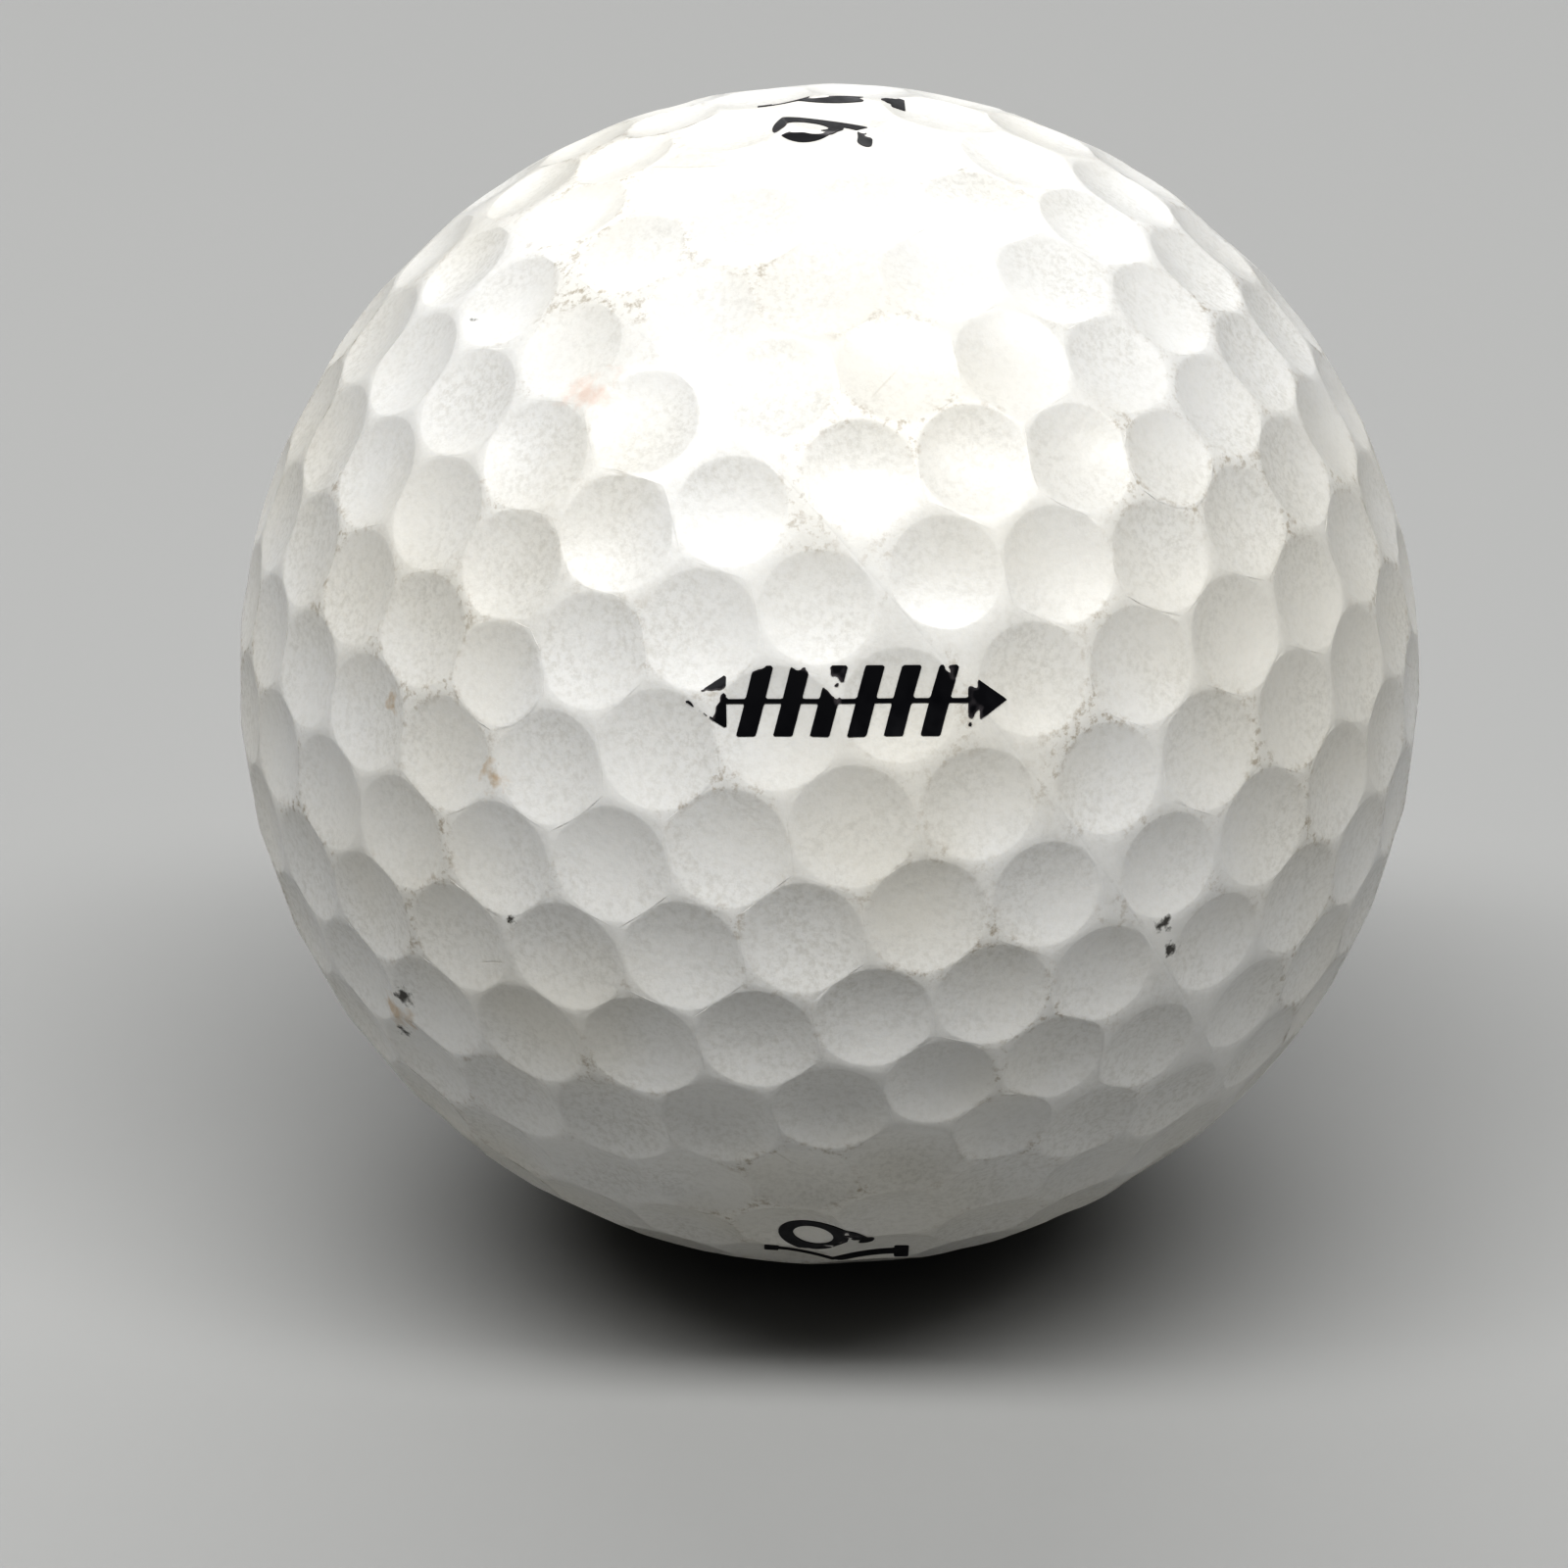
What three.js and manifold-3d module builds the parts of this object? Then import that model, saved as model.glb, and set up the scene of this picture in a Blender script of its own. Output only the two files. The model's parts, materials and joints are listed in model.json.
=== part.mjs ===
// A two-piece golf ball: a solid rubber core, a dimpled cover moulded from two half shells that
// meet at the mould's parting plane, and the pad-printed ink marks on the cover.
// Millimetres, +Z up, origin at the ball's centre. The ball lies as it was left on its rest:
// the front side mark faces -Y, turned a little upwards.
import * as THREE from 'three';
import { ConvexHull } from 'three/addons/math/ConvexHull.js';
import { mergeVertices } from 'three/addons/utils/BufferGeometryUtils.js';
import Module from 'manifold-3d';

// ---- driving dimensions, mm ----
const BALL_DIAMETER = 42.67;
const CORE_DIAMETER = 38.1;
const FIT_GAP = 0.3; // between the core and the cover, and between the two cover halves
const LAND_WIDTH = 0.12; // narrowest land between two neighbouring dimples
const DEPTH_PER_DIAMETER = 0.078; // depth of a dimple below the ball's surface, per rim diameter
const INK_CLEARANCE = 0.05; // under the ink film
const INK_THICKNESS = 0.08;
const STROKE_SLIM = 0.02; // how much a crossing stroke is thinner on each of its faces

// ---- dimple pattern ----
// Icosahedral triangular lattice: each of the icosahedron's edges is LATTICE_H steps along one
// lattice direction and LATTICE_K along the next, so the pattern has 10 T + 2 dimples with
// T = H^2 + H K + K^2 = 43, which is 432 dimples.
const LATTICE_H = 6;
const LATTICE_K = 1;
const PATTERN_AZIMUTH = 32.5; // degrees: where one corner of the icosahedron points
const PATTERN_POLAR = 49.2; // degrees down from +Z
const PATTERN_SPIN = 28.6; // degrees about that corner
const SEAM_AZIMUTH = 25.2; // degrees: the normal of the parting plane
const SEAM_ELEVATION = 33.8;
const SEAM_CLEARANCE = 1.89; // mm along the surface from the parting plane to the nearest dimple's middle
const EVEN_OUT_STEPS = 24; // how long neighbouring dimples push each other apart
const EVEN_OUT_REACH = 0.187; // chord, on a unit ball, at which they stop pushing
const EVEN_OUT_RATE = 0.1;
const SPACING_NEIGHBOURS = 5; // how many of a dimple's neighbours set its width
const RIM_FILL = 1.05; // above 1, close neighbours run into each other and meet in a ridge
const MOST_NEIGHBOURS = 7; // how many can cut its rim short
const RIM_SIDES = 8;
const SPHERE_DETAIL = 7; // how finely the smooth core and cavity are faceted

// ---- printed marks ----
const PRINT_AZIMUTH = -88.3; // degrees: where the front side mark points
const PRINT_ELEVATION = 18;
const SIDE_MARK_LENGTH = 10.1;
const SIDE_MARK_HEIGHT = 2.2;
const SIDE_MARK_SLANT = 0.27; // sideways lean per unit of height
const SIDE_MARK_STROKE = 0.6;
const SIDE_MARK_SHAFT = 0.14;
const SIDE_MARK_BARS = 6;
const ARROW_LENGTH = 1.3;
const ARROW_WIDTH = 1.7;
const ARROW_TIP_WIDTH = 0.12;
const NUMBER_FROM_POLE = 10.3;
const NUMBER_OFFSET = -0.4; // along the numeral's height, off the meridian of the side mark
const NUMBER_RING_RADIUS = 0.95; // to the middle of the stroke
const NUMBER_TAIL_RADIUS = 1.9;
const NUMBER_TAIL_TURN = 100; // degrees of arc
const NUMBER_STROKE = 0.5;
const POLE_BAR_FROM_POLE = 7.3;
const POLE_BAR_LENGTH = 4.6;
const POLE_BAR_WIDTH = 0.5;
const POLE_BAR_TICK = 1.1; // length of the tick across each end of the bar

const BALL_RADIUS = BALL_DIAMETER / 2;
const CORE_RADIUS = CORE_DIAMETER / 2;
const CAVITY_RADIUS = CORE_RADIUS + FIT_GAP;

const degrees = (angle) => THREE.MathUtils.degToRad(angle);

const wasm = await Module();
wasm.setup();

// ---- directions ----
function polarDirection(polar, azimuth) {
  return new THREE.Vector3(
    Math.sin(polar) * Math.cos(azimuth),
    Math.sin(polar) * Math.sin(azimuth),
    Math.cos(polar),
  );
}

function directionFrom(azimuth, elevation) {
  return polarDirection(degrees(90 - elevation), degrees(azimuth));
}

const seamNormal = directionFrom(SEAM_AZIMUTH, SEAM_ELEVATION);

// ---- the dimple pattern ----
function icosahedron() {
  const ringPolar = Math.atan(2);
  const step = degrees(72);
  const top = polarDirection(0, 0);
  const bottom = polarDirection(Math.PI, 0);
  const upper = [];
  const lower = [];
  for (let k = 0; k < 5; k += 1) {
    upper.push(polarDirection(ringPolar, k * step));
    lower.push(polarDirection(Math.PI - ringPolar, (k + 0.5) * step));
  }
  const faces = [];
  for (let k = 0; k < 5; k += 1) {
    const next = (k + 1) % 5;
    faces.push([top, upper[k], upper[next]]);
    faces.push([upper[k], lower[k], upper[next]]);
    faces.push([upper[next], lower[k], lower[next]]);
    faces.push([bottom, lower[next], lower[k]]);
  }
  return { corners: [top, bottom, ...upper, ...lower], faces };
}

// Barycentric places of the lattice points strictly inside one face of the icosahedron.
function placesInFace() {
  const stepB = new THREE.Vector2(0.5, Math.sqrt(3) / 2);
  const edgeP = new THREE.Vector2(LATTICE_H + LATTICE_K * stepB.x, LATTICE_K * stepB.y);
  const edgeQ = edgeP.clone().rotateAround(new THREE.Vector2(), degrees(60));
  const area = edgeP.cross(edgeQ);
  const reach = LATTICE_H + LATTICE_K;
  const margin = 1e-9;
  const places = [];
  for (let i = -reach; i <= reach; i += 1) {
    for (let j = -reach; j <= 2 * reach; j += 1) {
      const point = new THREE.Vector2(i + j * stepB.x, j * stepB.y);
      const alongP = point.cross(edgeQ) / area;
      const alongQ = edgeP.cross(point) / area;
      const rest = 1 - alongP - alongQ;
      if (Math.min(alongP, alongQ, rest) > margin) places.push([rest, alongP, alongQ]);
    }
  }
  return places;
}

function latticeDirections() {
  const { corners, faces } = icosahedron();
  const directions = corners.map((corner) => corner.clone());
  for (const face of faces) {
    for (const weights of placesInFace()) {
      const direction = new THREE.Vector3();
      face.forEach((corner, index) => direction.addScaledVector(corner, weights[index]));
      directions.push(direction.normalize());
    }
  }
  const turn = new THREE.Euler(0, degrees(PATTERN_POLAR), degrees(PATTERN_AZIMUTH), 'ZYX');
  const spin = new THREE.Matrix4().makeRotationZ(degrees(PATTERN_SPIN));
  const place = new THREE.Matrix4().makeRotationFromEuler(turn).multiply(spin);
  return directions.map((direction) => direction.applyMatrix4(place));
}

// Neighbouring dimples push each other apart, and none may come near the parting plane.
function evenOut(directions) {
  const clearance = Math.sin(SEAM_CLEARANCE / BALL_RADIUS);
  const sides = directions.map((direction) => Math.sign(direction.dot(seamNormal)));
  let placed = directions;
  for (let step = 0; step < EVEN_OUT_STEPS; step += 1) {
    const moved = placed.map((direction) => {
      const sum = direction.clone();
      for (const other of placed) {
        const distance = direction.distanceTo(other);
        if (distance > 0 && distance < EVEN_OUT_REACH) {
          const push = (EVEN_OUT_REACH - distance) * EVEN_OUT_RATE / distance;
          sum.addScaledVector(direction, push).addScaledVector(other, -push);
        }
      }
      return sum.normalize();
    });
    placed = moved.map((direction, index) => {
      const lack = Math.max(0, clearance - sides[index] * direction.dot(seamNormal));
      return direction.addScaledVector(seamNormal, sides[index] * lack).normalize();
    });
  }
  return placed;
}

const HALF_LAND_ANGLE = LAND_WIDTH / 2 / BALL_RADIUS;

// Each dimple fills its place: its rim stops half a land width short of midway to its neighbours,
// and as far short of the parting plane.
function dimples() {
  const directions = evenOut(latticeDirections());
  return directions.map((direction) => {
    const others = directions.filter((other) => other !== direction);
    others.sort((a, b) => direction.distanceTo(a) - direction.distanceTo(b));
    const neighbours = others.slice(0, MOST_NEIGHBOURS);
    const angles = neighbours.slice(0, SPACING_NEIGHBOURS).map((other) => direction.angleTo(other));
    const spacing = angles.reduce((sum, angle) => sum + angle) / SPACING_NEIGHBOURS;
    const toSeam = Math.asin(Math.abs(direction.dot(seamNormal)));
    const rimAngle = Math.min(RIM_FILL * spacing / 2, toSeam) - HALF_LAND_ANGLE;
    const depth = 2 * rimAngle * BALL_RADIUS * DEPTH_PER_DIAMETER;
    return { direction, neighbours, rimAngle, depth };
  });
}

// The angle from a dimple's middle to its rim in one direction along the surface. A close neighbour
// cuts the round rim short, so that a narrow land is always left.
function rimAngleTowards({ direction, neighbours, rimAngle }, outwards) {
  const limits = [rimAngle];
  for (const neighbour of neighbours) {
    const towards = neighbour.dot(outwards);
    if (towards > 0) {
      limits.push(Math.atan((1 - neighbour.dot(direction)) / towards) - HALF_LAND_ANGLE);
    }
  }
  return Math.min(...limits);
}

function tangents(direction) {
  const helper = Math.abs(direction.z) < 0.9 ? new THREE.Vector3(0, 0, 1) : new THREE.Vector3(1, 0, 0);
  const right = new THREE.Vector3().crossVectors(helper, direction).normalize();
  const up = new THREE.Vector3().crossVectors(direction, right);
  return { right, up };
}

// The ball's outer surface: the hull of every dimple's middle and rim on the unit ball gives the
// triangles, and each point then takes its own radius.
function dimpledBallGeometry() {
  const points = [];
  const radii = [];
  for (const dimple of dimples()) {
    const { right, up } = tangents(dimple.direction);
    points.push(dimple.direction.clone());
    radii.push(BALL_RADIUS - dimple.depth);
    for (let side = 0; side < RIM_SIDES; side += 1) {
      const turn = (2 * Math.PI * side) / RIM_SIDES;
      const outwards = right.clone().multiplyScalar(Math.cos(turn)).addScaledVector(up, Math.sin(turn));
      const angle = rimAngleTowards(dimple, outwards);
      const point = dimple.direction.clone().multiplyScalar(Math.cos(angle));
      points.push(point.addScaledVector(outwards, Math.sin(angle)));
      radii.push(BALL_RADIUS);
    }
  }
  const indexOf = new Map(points.map((point, index) => [point, index]));
  const triangles = [];
  for (const face of new ConvexHull().setFromPoints(points).faces) {
    const corners = [];
    let edge = face.edge;
    do {
      corners.push(indexOf.get(edge.head().point));
      edge = edge.next;
    } while (edge !== face.edge);
    triangles.push(...corners);
  }
  const geometry = new THREE.BufferGeometry();
  const positions = points.flatMap((point, index) => point.clone().multiplyScalar(radii[index]).toArray());
  geometry.setAttribute('position', new THREE.Float32BufferAttribute(positions, 3));
  geometry.setIndex(triangles);
  return geometry;
}

// ---- solids and cuts ----
function solidFrom(geometry) {
  const bare = geometry.clone();
  bare.deleteAttribute('normal');
  bare.deleteAttribute('uv');
  const merged = mergeVertices(bare);
  const vertProperties = new Float32Array(merged.attributes.position.array);
  const triVerts = new Uint32Array(merged.index.array);
  return new wasm.Manifold(new wasm.Mesh({ numProp: 3, vertProperties, triVerts }));
}

function geometryFrom(solid) {
  const { vertProperties, triVerts } = solid.getMesh();
  const geometry = new THREE.BufferGeometry();
  geometry.setAttribute('position', new THREE.BufferAttribute(vertProperties, 3));
  geometry.setIndex(new THREE.BufferAttribute(triVerts, 1));
  geometry.computeVertexNormals();
  return geometry;
}

function sphereGeometry(radius) {
  return new THREE.IcosahedronGeometry(radius, SPHERE_DETAIL);
}

// A block that fills the space on one side of the parting plane, half a gap away from it.
function blockBeyondSeam(side) {
  const size = 2 * BALL_DIAMETER;
  const block = new THREE.BoxGeometry(size, size, size);
  block.translate(0, 0, (size + FIT_GAP) / 2);
  const towards = seamNormal.clone().multiplyScalar(side);
  const turn = new THREE.Quaternion().setFromUnitVectors(new THREE.Vector3(0, 0, 1), towards);
  return block.applyQuaternion(turn);
}

function coverHalfGeometries() {
  const shell = solidFrom(dimpledBallGeometry()).subtract(solidFrom(sphereGeometry(CAVITY_RADIUS)));
  return [1, -1].map((side) => geometryFrom(shell.intersect(solidFrom(blockBeyondSeam(side)))));
}

// ---- printed marks ----
const printAxes = (() => {
  const side = directionFrom(PRINT_AZIMUTH, PRINT_ELEVATION);
  const right = new THREE.Vector3().crossVectors(new THREE.Vector3(0, 0, 1), side).normalize();
  const pole = new THREE.Vector3().crossVectors(side, right);
  return { side, right, pole };
})();

// Where a print is laid: its middle on the ball and the directions of its own x and y.
function printPlace(middle, x) {
  return { middle: middle.clone(), x: x.clone(), y: new THREE.Vector3().crossVectors(middle, x) };
}

function middleNearPole(poleSign, distance) {
  const angle = distance / BALL_RADIUS;
  const middle = printAxes.pole.clone().multiplyScalar(poleSign * Math.cos(angle));
  return middle.addScaledVector(printAxes.side, Math.sin(angle));
}

// The play number lies on its side: its foot is to the left, seen from the front.
function playNumberPlace(poleSign) {
  const middle = middleNearPole(poleSign, NUMBER_FROM_POLE);
  return printPlace(middle, new THREE.Vector3().crossVectors(printAxes.right, middle));
}

function poleBarPlace(poleSign) {
  return printPlace(middleNearPole(poleSign, POLE_BAR_FROM_POLE), printAxes.right);
}

// A point of a print at (x, y) mm from its middle, measured along the ball, at the given radius.
function pointOnBall(place, x, y, radius) {
  const reach = Math.hypot(x, y);
  const angle = reach / BALL_RADIUS;
  const point = place.middle.clone().multiplyScalar(Math.cos(angle));
  if (reach > 0) {
    point.addScaledVector(place.x, Math.sin(angle) * x / reach);
    point.addScaledVector(place.y, Math.sin(angle) * y / reach);
  }
  return point.multiplyScalar(radius);
}

// A ribbon of ink along a path: stations across the path, joined into one closed solid. Strokes
// that cross have different thickness, so their faces never lie on each other.
function strokeGeometry(place, stroke) {
  const { at, halfWidth, steps, closed = false, slim = 0 } = stroke;
  const inner = BALL_RADIUS + INK_CLEARANCE + slim;
  const outer = BALL_RADIUS + INK_CLEARANCE + INK_THICKNESS - slim;
  const nudge = 1e-3;
  const positions = [];
  const count = closed ? steps : steps + 1;
  for (let station = 0; station < count; station += 1) {
    const t = station / steps;
    const here = at(t);
    const before = at(closed ? t - nudge : Math.max(0, t - nudge));
    const after = at(closed ? t + nudge : Math.min(1, t + nudge));
    const across = after.sub(before).normalize().rotateAround(new THREE.Vector2(), Math.PI / 2);
    const width = typeof halfWidth === 'function' ? halfWidth(t) : halfWidth;
    for (const sign of [1, -1]) {
      const edge = here.clone().addScaledVector(across, sign * width);
      for (const radius of [inner, outer]) {
        positions.push(...pointOnBall(place, edge.x, edge.y, radius).toArray());
      }
    }
  }
  const ringOf = (station) => [0, 1, 3, 2].map((corner) => 4 * (station % count) + corner);
  const triangles = [];
  for (let station = 0; station < steps; station += 1) {
    const near = ringOf(station);
    const far = ringOf(station + 1);
    for (let corner = 0; corner < 4; corner += 1) {
      const next = (corner + 1) % 4;
      triangles.push(near[corner], near[next], far[next], near[corner], far[next], far[corner]);
    }
  }
  if (!closed) {
    const [a, b, c, d] = ringOf(0);
    const [e, f, g, h] = ringOf(steps);
    triangles.push(a, c, b, a, d, c, e, f, g, e, g, h);
  }
  const geometry = new THREE.BufferGeometry();
  geometry.setAttribute('position', new THREE.Float32BufferAttribute(positions, 3));
  geometry.setIndex(triangles);
  return geometry;
}

function inkGeometry(place, strokes) {
  const solids = strokes.map((stroke) => solidFrom(strokeGeometry(place, stroke)));
  return geometryFrom(solids.reduce((joined, solid) => joined.add(solid)));
}

const straight = (x0, y0, x1, y1) => (t) => new THREE.Vector2(x0 + (x1 - x0) * t, y0 + (y1 - y0) * t);

// A double-ended arrow crossed by slanted bars: an alignment mark.
function sideMarkStrokes() {
  const half = SIDE_MARK_LENGTH / 2;
  const shaftEnd = half - ARROW_LENGTH / 2;
  const barRoom = 2 * (half - ARROW_LENGTH) - SIDE_MARK_STROKE;
  const rise = SIDE_MARK_HEIGHT / 2;
  const lean = SIDE_MARK_SLANT * rise;
  const shaft = straight(-shaftEnd, 0, shaftEnd, 0);
  const strokes = [{ at: shaft, halfWidth: SIDE_MARK_SHAFT / 2, steps: 12, slim: STROKE_SLIM }];
  for (let bar = 0; bar < SIDE_MARK_BARS; bar += 1) {
    const x = barRoom * ((bar + 0.5) / SIDE_MARK_BARS - 0.5);
    const at = straight(x - lean, -rise, x + lean, rise);
    strokes.push({ at, halfWidth: SIDE_MARK_STROKE / 2, steps: 3 });
  }
  for (const sign of [1, -1]) {
    strokes.push({
      at: straight(sign * (half - ARROW_LENGTH), 0, sign * half, 0),
      halfWidth: (t) => THREE.MathUtils.lerp(ARROW_WIDTH, ARROW_TIP_WIDTH, t) / 2,
      steps: 2,
    });
  }
  return strokes;
}

// The numeral six: a ring, and a tail that leaves the ring's side on a wider arc.
function playNumberStrokes() {
  const ringY = NUMBER_OFFSET - NUMBER_RING_RADIUS / 2;
  const tailX = NUMBER_TAIL_RADIUS - NUMBER_RING_RADIUS;
  const halfWidth = NUMBER_STROKE / 2;
  const arc = (x, radius, start, sweep) => (t) => new THREE.Vector2(
    x + radius * Math.cos(start + sweep * t),
    ringY + radius * Math.sin(start + sweep * t),
  );
  const ring = arc(0, NUMBER_RING_RADIUS, 0, 2 * Math.PI);
  const tail = arc(tailX, NUMBER_TAIL_RADIUS, Math.PI, -degrees(NUMBER_TAIL_TURN));
  return [
    { at: ring, halfWidth, steps: 16, closed: true },
    { at: tail, halfWidth, steps: 8, slim: STROKE_SLIM },
  ];
}

function poleBarStrokes() {
  const half = POLE_BAR_LENGTH / 2;
  const tick = POLE_BAR_TICK / 2;
  const halfWidth = POLE_BAR_WIDTH / 2;
  const bar = { at: straight(-half, 0, half, 0), halfWidth, steps: 6, slim: STROKE_SLIM };
  const ticks = [-half, half].map((x) => ({ at: straight(x, -tick, x, tick), halfWidth, steps: 2 }));
  return [bar, ...ticks];
}

// ---- materials and assembly ----
const coverMaterial = new THREE.MeshStandardMaterial({ color: 0xf1f0ea, roughness: 0.3, metalness: 0 });
const coreMaterial = new THREE.MeshStandardMaterial({ color: 0xb0553c, roughness: 0.8, metalness: 0 });
const inkMaterial = new THREE.MeshStandardMaterial({ color: 0x101012, roughness: 0.5, metalness: 0 });

const ball = new THREE.Group();

function addPiece(name, geometry, material) {
  const mesh = new THREE.Mesh(geometry, material);
  mesh.name = name;
  ball.add(mesh);
}

addPiece('core', sphereGeometry(CORE_RADIUS), coreMaterial);

const [upperHalf, lowerHalf] = coverHalfGeometries();
addPiece('cover_half_upper', upperHalf, coverMaterial);
addPiece('cover_half_lower', lowerHalf, coverMaterial);

const frontPlace = printPlace(printAxes.side, printAxes.right);
const backPlace = printPlace(printAxes.side.clone().negate(), printAxes.right.clone().negate());
addPiece('side_mark_front', inkGeometry(frontPlace, sideMarkStrokes()), inkMaterial);
addPiece('side_mark_back', inkGeometry(backPlace, sideMarkStrokes()), inkMaterial);
for (const [end, sign] of [['top', 1], ['bottom', -1]]) {
  addPiece(`play_number_${end}`, inkGeometry(playNumberPlace(sign), playNumberStrokes()), inkMaterial);
  addPiece(`pole_bar_${end}`, inkGeometry(poleBarPlace(sign), poleBarStrokes()), inkMaterial);
}

export default ball;
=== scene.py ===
"""A used golf ball on a pale floor: fine dimpled cover halves, worn ink prints and rubber core."""

import json
import math

import bmesh
import bpy
import numpy as np
from mathutils import Matrix, Vector, noise


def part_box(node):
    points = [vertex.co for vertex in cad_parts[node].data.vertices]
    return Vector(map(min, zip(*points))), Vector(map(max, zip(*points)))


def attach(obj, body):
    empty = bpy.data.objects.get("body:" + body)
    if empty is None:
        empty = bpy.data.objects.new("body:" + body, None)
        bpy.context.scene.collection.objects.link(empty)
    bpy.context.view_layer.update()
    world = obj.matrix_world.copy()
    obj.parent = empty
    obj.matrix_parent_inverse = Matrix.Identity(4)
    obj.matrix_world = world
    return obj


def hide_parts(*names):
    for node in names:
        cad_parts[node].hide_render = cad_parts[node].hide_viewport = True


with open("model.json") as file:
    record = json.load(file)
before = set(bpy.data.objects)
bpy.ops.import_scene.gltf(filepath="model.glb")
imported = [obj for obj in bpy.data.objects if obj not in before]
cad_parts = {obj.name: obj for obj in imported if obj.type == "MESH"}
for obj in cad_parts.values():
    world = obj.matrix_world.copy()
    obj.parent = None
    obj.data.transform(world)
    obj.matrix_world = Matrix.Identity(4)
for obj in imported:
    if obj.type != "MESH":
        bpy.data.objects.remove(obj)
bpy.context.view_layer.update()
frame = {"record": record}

MM = 0.001  # lengths below are in millimetres unless they say otherwise; Blender's are in metres

# ---- sizes from the frame ----
SEAT = Vector(frame["record"]["mounts"][0]["pos_m"])
BALL_RADIUS = -SEAT.z / MM
CORE_RADIUS = (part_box("core")[1].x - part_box("core")[0].x) / 2 / MM
FIT_GAP = 0.3  # between the core and the cover
CAVITY_RADIUS = CORE_RADIUS + FIT_GAP

# ---- dimple pattern, as in the CAD model ----
LATTICE_H = 6
LATTICE_K = 1
PATTERN_AZIMUTH = 32.5
PATTERN_POLAR = 49.2
PATTERN_SPIN = 28.6
SEAM_AZIMUTH = 25.2
SEAM_ELEVATION = 33.8
SEAM_CLEARANCE = 1.89
SPACING_NEIGHBOURS = 5
RIM_FILL = 1.05
LAND_WIDTH = 0.12
DEPTH_PER_DIAMETER = 0.078
EVEN_OUT_STEPS = 24
EVEN_OUT_REACH = 0.187
EVEN_OUT_RATE = 0.1

# ---- printed marks, as in the CAD model ----
PRINT_AZIMUTH = -88.3
PRINT_ELEVATION = 18.0
SIDE_MARK_LENGTH = 10.1
SIDE_MARK_HEIGHT = 2.2
SIDE_MARK_SLANT = 0.27
SIDE_MARK_STROKE = 0.6
SIDE_MARK_SHAFT = 0.14
SIDE_MARK_BARS = 6
ARROW_LENGTH = 1.3
ARROW_WIDTH = 1.7
NUMBER_FROM_POLE = 10.3
NUMBER_OFFSET = -0.4
NUMBER_RING_RADIUS = 0.95
NUMBER_TAIL_RADIUS = 1.9
NUMBER_TAIL_TURN = 100.0
NUMBER_STROKE = 0.5
POLE_BAR_FROM_POLE = 7.3
POLE_BAR_LENGTH = 4.6
POLE_BAR_WIDTH = 0.5
POLE_BAR_TICK = 1.1

# ---- fine surface ----
RIM_ROUNDING = 0.016  # how softly the land turns down into a dimple
RIDGE_ROUNDING = 0.010  # how softly two dimples meet in a ridge
RIDGE_GAP = 0.02  # left between the meshes of two dimples that meet
SEAM_LAND = 0.04  # buffed flush this far either side of the parting plane
SEAM_LAND_EDGE = 0.15  # and blended into the dimples by here
SEAM_GROOVE = 0.003  # depth of the faint line along the parting plane
SEAM_GROOVE_WIDTH = 0.04
RING_FRACTIONS = (0.30, 0.52, 0.70, 0.83, 0.91, 0.96, 1.0)
SEGMENTS_PER_NEIGHBOUR = 6
INK_GRID = 0.07
INK_BOTTOM = 0.006  # above the cover
INK_TOP = 0.026
CROSSING_MARGIN = 0.08  # share of a grid cell that the film's edge keeps from the cell's corners
WEAR_REACH = 0.35  # how far one unit of wear moves the film's edge
SHARP_ANGLE = 40.0  # degrees: a sharper fold than this is shaded as an edge
LAND_REACH = 0.08  # how far below the land dirt and rubbing reach into a dimple
RUBBED_REACH = 0.06  # how far below the land the ink is rubbed off


# ---- directions and rotations ----
def direction_from(azimuth, elevation):
    a, e = math.radians(azimuth), math.radians(elevation)
    return np.array([math.cos(e) * math.cos(a), math.cos(e) * math.sin(a), math.sin(e)])


def normalised(vectors):
    return vectors / np.linalg.norm(vectors, axis=-1, keepdims=True)


SEAM_NORMAL = direction_from(SEAM_AZIMUTH, SEAM_ELEVATION)


# ---- the dimple pattern ----
def icosahedron():
    ring_polar = math.degrees(math.atan(2))
    top, bottom = direction_from(0, 90), direction_from(0, -90)
    upper = [direction_from(72 * k, 90 - ring_polar) for k in range(5)]
    lower = [direction_from(72 * k + 36, ring_polar - 90) for k in range(5)]
    faces = []
    for k in range(5):
        after = (k + 1) % 5
        faces.append((top, upper[k], upper[after]))
        faces.append((upper[k], lower[k], upper[after]))
        faces.append((upper[after], lower[k], lower[after]))
        faces.append((bottom, lower[after], lower[k]))
    return [top, bottom] + upper + lower, faces


def cross_2d(a, b):
    return a[0] * b[1] - a[1] * b[0]


def places_in_face():
    """Barycentric places of the lattice points strictly inside one face of the icosahedron."""
    step_b = np.array([0.5, math.sqrt(3) / 2])
    edge_p = np.array([LATTICE_H, 0.0]) + LATTICE_K * step_b
    turn = np.array([[0.5, -math.sqrt(3) / 2], [math.sqrt(3) / 2, 0.5]])
    edge_q = turn @ edge_p
    area = cross_2d(edge_p, edge_q)
    reach = LATTICE_H + LATTICE_K
    places = []
    for i in range(-reach, reach + 1):
        for j in range(-reach, 2 * reach + 1):
            point = np.array([i, 0.0]) + j * step_b
            along_p = cross_2d(point, edge_q) / area
            along_q = cross_2d(edge_p, point) / area
            rest = 1 - along_p - along_q
            if min(along_p, along_q, rest) > 1e-9:
                places.append((rest, along_p, along_q))
    return places


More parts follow.
